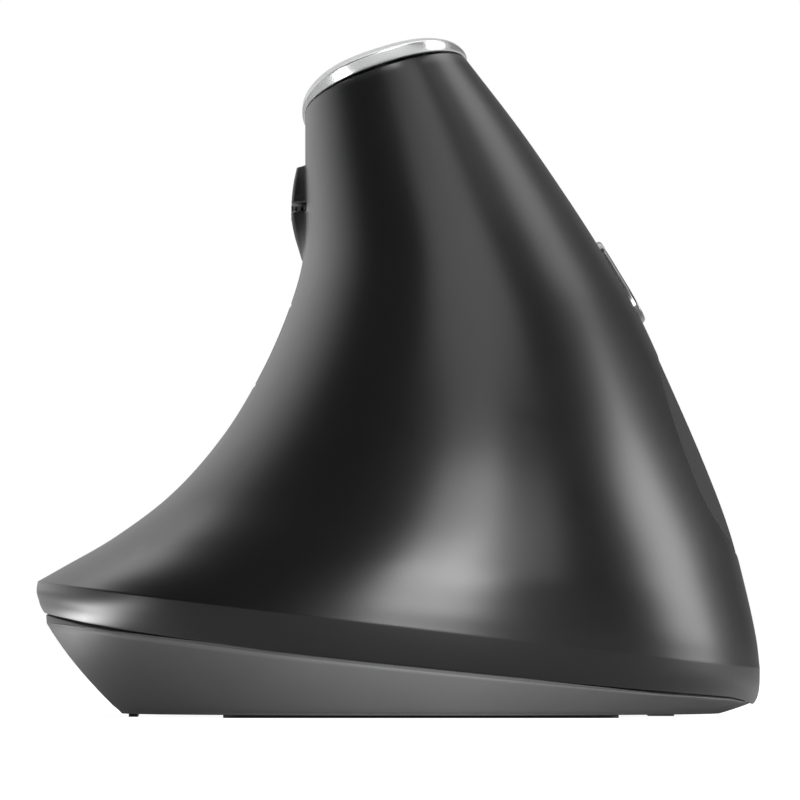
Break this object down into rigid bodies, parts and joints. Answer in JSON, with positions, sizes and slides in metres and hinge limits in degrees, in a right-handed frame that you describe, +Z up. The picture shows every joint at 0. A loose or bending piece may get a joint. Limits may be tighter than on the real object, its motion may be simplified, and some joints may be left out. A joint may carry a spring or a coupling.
{
  "type": "ergonomic mouse",
  "caption": "Upright cordless mouse for the left hand: dark satin shell, silver cap, finger buttons with a scroll wheel, thumb buttons and a battery bay.",
  "frame": {"origin": "on the desk, under the middle of the outline", "axes": "+X to the thumb side, +Y forward, away from the palm, +Z up"},
  "size_m": [0.0831, 0.112, 0.0779],
  "materials": {
    "shell": "satin, smooth",
    "base": "fine spark texture",
    "silver": "satin silver coating",
    "trim": "dark polished coating",
    "pad": "matt",
    "tyre": "grooved",
    "steel": "bright",
    "frame": "moulded",
    "board": "solder mask",
    "switch": "moulded",
    "chip": "moulded",
    "lens": "clear",
    "lamp": "clear red",
    "ribbon": "flat cable",
    "cell": "printed sleeve without lettering",
    "feet": "slippery polymer",
    "toggle": "moulded",
    "receiver": "moulded",
    "speed": "satin"
  },
  "bodies": {
    "case": {"main_cover": "shell", "base_shell": "base", "top_cap": "silver", "thumb_pad": "pad", "side_bezel": "trim", "wheel_switch": "switch", "inner_frame": "frame", "switch_board": "board", "finger_switches": "switch", "thumb_board": "board", "thumb_switches": "switch", "speed_board": "board", "speed_switch": "switch", "main_board": "board", "ribbon_cable": "ribbon", "sensor_chip": "chip", "sensor_lens": "lens", "sensor_lamp": "lamp", "power_body": "switch", "battery": "cell", "battery_spring": "steel", "battery_plate": "steel", "case_screws": "steel", "wide_feet": "feet", "side_feet": "feet"},
    "index": {"index_button": "shell"},
    "middle": {"middle_button": "shell"},
    "ring": {"ring_button": "shell"},
    "carriage": {"wheel_carriage": "frame", "wheel_encoder": "switch"},
    "wheel": {"wheel_tyre": "tyre", "wheel_hub": "silver", "wheel_axle": "steel"},
    "forward": {"forward_button": "shell"},
    "back": {"back_button": "shell"},
    "speed": {"speed_button": "speed"},
    "toggle": {"power_slider": "toggle"},
    "door": {"battery_door": "base"},
    "receiver": {"usb_receiver": "receiver"}
  },
  "joints": [
    {"name": "index_press", "type": "hinge", "parent": "case", "child": "index", "pos_m": [-0.00846, 0.00672, 0.0639], "axis": [0.0056, -0.3447, -0.9387], "range_deg": [0, 0.7], "stiffness_Nm_per_rad": 1.5, "springref_deg": -0.57},
    {"name": "middle_press", "type": "hinge", "parent": "case", "child": "middle", "pos_m": [-0.00934, 0.00263, 0.05248], "axis": [-0.146, -0.3268, -0.9338], "range_deg": [0, 0.7], "stiffness_Nm_per_rad": 1.5, "springref_deg": -0.57},
    {"name": "ring_press", "type": "hinge", "parent": "case", "child": "ring", "pos_m": [-0.0124, -0.00119, 0.04178], "axis": [-0.3847, -0.316, -0.8673], "range_deg": [0, 0.7], "stiffness_Nm_per_rad": 1.5, "springref_deg": -0.57},
    {"name": "wheel_click", "type": "slide", "parent": "case", "child": "carriage", "axis": [1, 0, 0], "range_m": [0, 0.0005], "stiffness_N_per_m": 900, "springref_m": -0.0004},
    {"name": "wheel_turn", "type": "hinge", "parent": "carriage", "child": "wheel", "pos_m": [-0.00289, 0.01994, 0.05797], "axis": [0, 0, 1], "continuous": true},
    {"name": "forward_press", "type": "slide", "parent": "case", "child": "forward", "axis": [-0.8831, 0, -0.4691], "range_m": [0, 0.0005], "stiffness_N_per_m": 700, "springref_m": -0.0004},
    {"name": "back_press", "type": "slide", "parent": "case", "child": "back", "axis": [-0.8831, 0, -0.4691], "range_m": [0, 0.0005], "stiffness_N_per_m": 700, "springref_m": -0.0004},
    {"name": "speed_press", "type": "slide", "parent": "case", "child": "speed", "axis": [0.3031, 0, -0.953], "range_m": [0, 0.0004], "stiffness_N_per_m": 700, "springref_m": -0.0004},
    {"name": "power_slide", "type": "slide", "parent": "case", "child": "toggle", "axis": [1, 0, 0], "range_m": [0, 0.003]},
    {"name": "door_off", "type": "slide", "parent": "case", "child": "door", "axis": [0, 0, -1], "range_m": [0, 0.03]},
    {"name": "receiver_out", "type": "slide", "parent": "case", "child": "receiver", "axis": [0, 0, -1], "range_m": [0, 0.03]}
  ]
}
